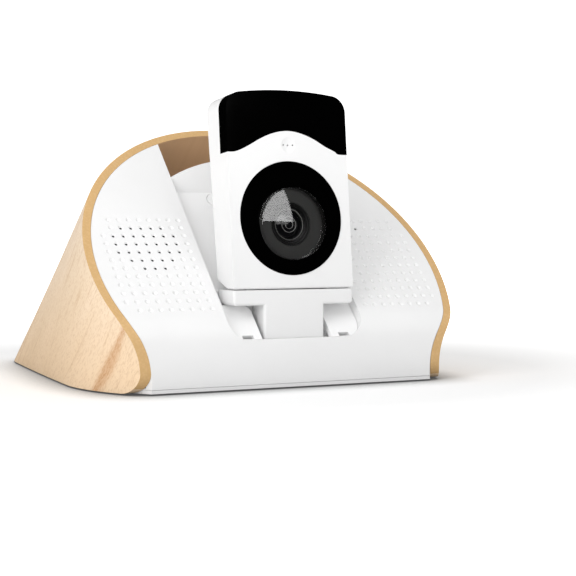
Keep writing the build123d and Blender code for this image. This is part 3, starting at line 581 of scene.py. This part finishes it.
# distances forward count from the head's front: the plate stands this proud of it, and the lens
# axis meets it this far below the plate's middle
disk_proud = 0.0002
dome_drop = 0.0025
disk_low, disk_high = (Vector(corner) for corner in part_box("lens_disk"))
disk_size = disk_high - disk_low
disk_thickness = (disk_size.y - disk_size.x * sin(head_lean)) / cos(head_lean)
lens_origin = (disk_low + disk_high) / 2 + lens_axis * (disk_thickness / 2 - disk_proud)
plate_up = Vector((0.0, sin(head_lean), cos(head_lean)))
lens_origin -= plate_up * dome_drop

# the dome only mirrors at its skin and is clear between, as a thin clean moulding is
dome_glass, tree, shader = finish("dome_glass", (1.0, 1.0, 1.0), 0.015, {"Metallic": 1.0})
# both skins mirror alike: this much straight on, and all at grazing angles
straight_on = 0.075
facing = node(tree, "ShaderNodeLayerWeight", Blend=0.5).outputs["Facing"]
grazing = maths(tree, "MULTIPLY", maths(tree, "POWER", facing, 5.0), 1.0 - straight_on)
tree.links.new(maths(tree, "ADD", grazing, straight_on), shader.inputs["Alpha"])

barrel_black = moulded("barrel_black", (0.003, 0.003, 0.003), 0.3, {"Specular IOR Level": 0.3})
cup_black = moulded("cup_black", (0.025, 0.025, 0.024), 0.45, {"Specular IOR Level": 0.3})
rim_grey = moulded("rim_grey", (0.22, 0.22, 0.21), 0.3)
coated_glass = finish(
    "coated_glass", (0.002, 0.002, 0.003), 0.04,
    {"Specular IOR Level": 0.5, "Coat Weight": 0.6, "Coat Roughness": 0.02},
)[0]

# the dome is a shallow cap on an upright wall, with a small bevel between them
wall_top = 0.0024
wall_foot = -0.00095
cap_foot = 0.0027
cap_inset = 0.0003
cap_rise = dome_height - cap_foot
cap_steps = 20
outer = [
    (radius, forward + cap_foot)
    for radius, forward in cap_profile(dome_radius - cap_inset, cap_rise, cap_steps)
]
inner = [
    (radius, forward + cap_foot - dome_skin)
    for radius, forward in cap_profile(dome_radius - dome_skin, cap_rise, cap_steps)
]
turned(
    "clear_dome",
    outer + [(dome_radius, wall_top), (dome_radius, wall_foot),
             (dome_radius - dome_skin, wall_foot)] + inner[::-1],
    dome_glass, "lens_glass", "lens_dome",
)
# the ring's flange lies on the ledge under the dome, and its bore fits round the barrel
turned(
    "lens_cup_ring",
    [(0.0097, -0.0038), (0.0097, -0.0011), (0.0098, -0.0010), (0.01600, -0.0010),
     (0.01605, -0.00105), (0.01605, -0.00118), (0.0139, -0.00118), (0.0139, -0.0038)],
    cup_black, "barrel_black", "lens_cup",
)
turned(
    "stepped_barrel",
    [(0.0, -0.0105), (0.0096, -0.0105), (0.0096, -0.0011), (0.0095, -0.0010), (0.0090, -0.0010),
     (0.0089, -0.0011), (0.0082, -0.0012), (0.0080, -0.0017), (0.0074, -0.0019),
     (0.0072, -0.0026), (0.0069, -0.0028), (0.0069, -0.0044), (0.0037, -0.0044),
     (0.0037, -0.0090), (0.0, -0.0090)],
    barrel_black, "barrel_black", "lens_barrel",
)
glass_radius = 0.0064
glass_seat = -0.0044
glass_bulge = 0.0019
glass_steps = 16
glass = [
    (radius, forward + glass_seat)
    for radius, forward in cap_profile(glass_radius, glass_bulge, glass_steps)
]
turned(
    "front_glass", glass + [(glass_radius, glass_seat), (0.0, glass_seat)],
    coated_glass, "element_glass", "lens_element",
)
# three fine grey rims: one in the barrel's mouth, two close over the glass
rim_half = 0.0001
rim_depth = 0.0003
for name, radius, forward in (
    ("outer_rim", 0.0069, -0.0024),
    ("middle_rim", 0.0035, -0.0026),
    ("inner_rim", 0.0019, -0.00248),
):
    turned(
        name,
        [(radius - rim_half, forward - rim_depth), (radius + rim_half, forward - rim_depth),
         (radius + rim_half, forward), (radius, forward + rim_half), (radius - rim_half, forward)],
        rim_grey, "barrel_black",
    )

# ---------------------------------------------------------------- working parts inside
# Boards, speaker, microphones, contacts, screws and pads, mostly seen through holes or from
# below: solder-masked boards, plated steel, gilt contacts, black paper cone, nylon and rubber.
steel = moulded("plated_steel", (0.55, 0.55, 0.57), 0.35, {"Metallic": 1.0})
gilt = moulded("gilt_contact", (0.83, 0.62, 0.28), 0.3, {"Metallic": 1.0})
board_green = moulded("board_green", (0.03, 0.16, 0.08), 0.4)
inner_black = moulded("inner_black", (0.015, 0.015, 0.015), 0.5)
rubber = moulded("foot_rubber", (0.03, 0.03, 0.03), 0.8)
nylon = moulded("nylon", (0.65, 0.65, 0.62), 0.5)
dress(steel, "base_screws", "head_screws", "tilt_pins", "dock_microphone", "head_microphone")
dress(gilt, "contact_pins", "foot_contacts")
dress(board_green, "main_board", "key_board", "sensor_board", "camera_board", "ir_led_board")
dress(
    inner_black, "dc_inlet", "contact_block", "key_switches", "speaker_frame", "speaker_magnet",
    "speaker_cone",
)
dress(rubber, "rubber_feet", "speaker_gasket")
dress(nylon, "board_standoffs", "friction_washers", "ir_leds")
